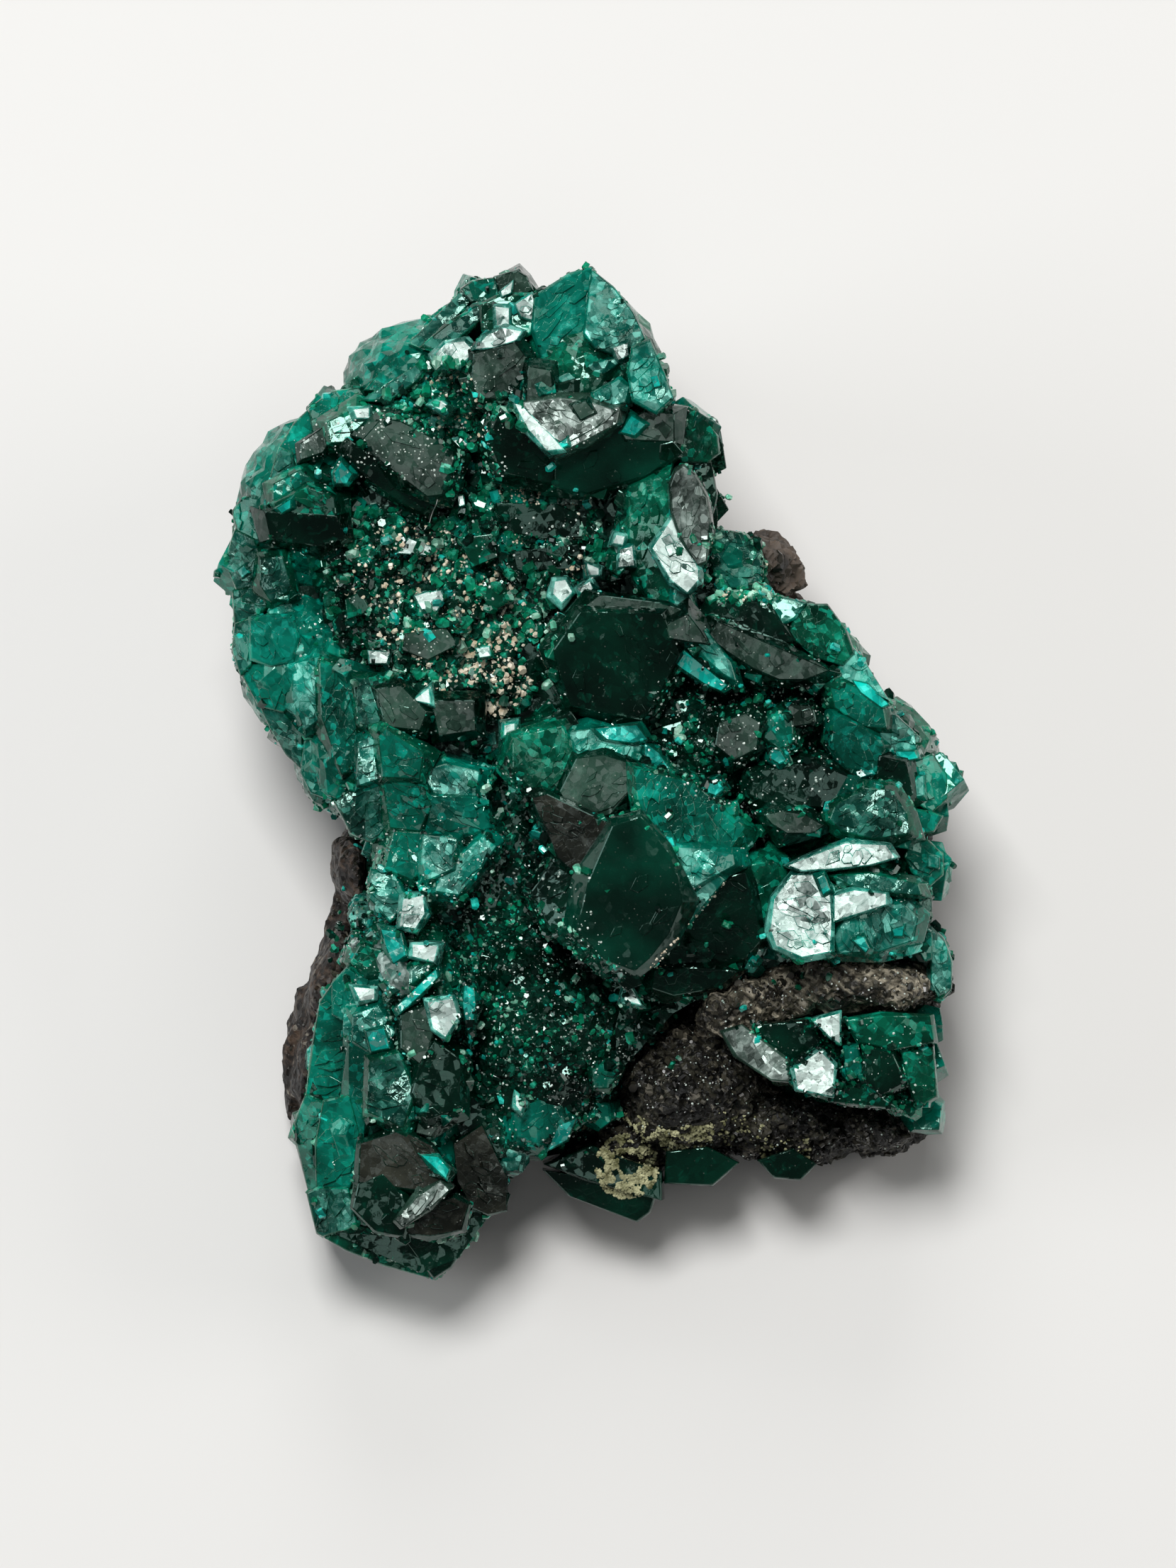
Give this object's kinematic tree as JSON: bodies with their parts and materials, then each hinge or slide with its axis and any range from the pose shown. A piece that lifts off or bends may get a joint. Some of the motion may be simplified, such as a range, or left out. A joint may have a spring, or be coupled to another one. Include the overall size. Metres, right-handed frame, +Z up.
{
  "type": "mineral specimen",
  "caption": "Dioptase: deep emerald to teal crystals grown together over dark brown rock, with a sparkling vug and a crusted ledge",
  "frame": {"origin": "On the resting plane, under the middle of the bounding box", "axes": "+Z up out of the crystal side, +Y towards the crest of the specimen, +X to the right of an observer who looks down on it with the crest away from them"},
  "size_m": [0.0414, 0.0534, 0.0248],
  "materials": {
    "matrix_rock": "Dark brown granular and fibrous host rock, dry and matt, with olive-yellow crust on the lower ledge",
    "dioptase": "Near-black green to teal crystal, vitreous faces, cloudy turquoise where it is fractured",
    "dioptase_pocket": "Bright emerald crystal with mirror-like faces",
    "dioptase_foot": "Bottle-green crystal, smooth and glassy",
    "druse": "Crust of tiny emerald crystals with cream grains between them"
  },
  "bodies": {
    "root": {"matrix_rock": "matrix_rock", "dioptase_mass": "dioptase", "pocket_crystals": "dioptase_pocket", "foot_crystal": "dioptase_foot", "spur_crystal": "dioptase_foot", "nub_crystal": "dioptase_foot", "vug_druse": "druse"}
  },
  "joints": []
}
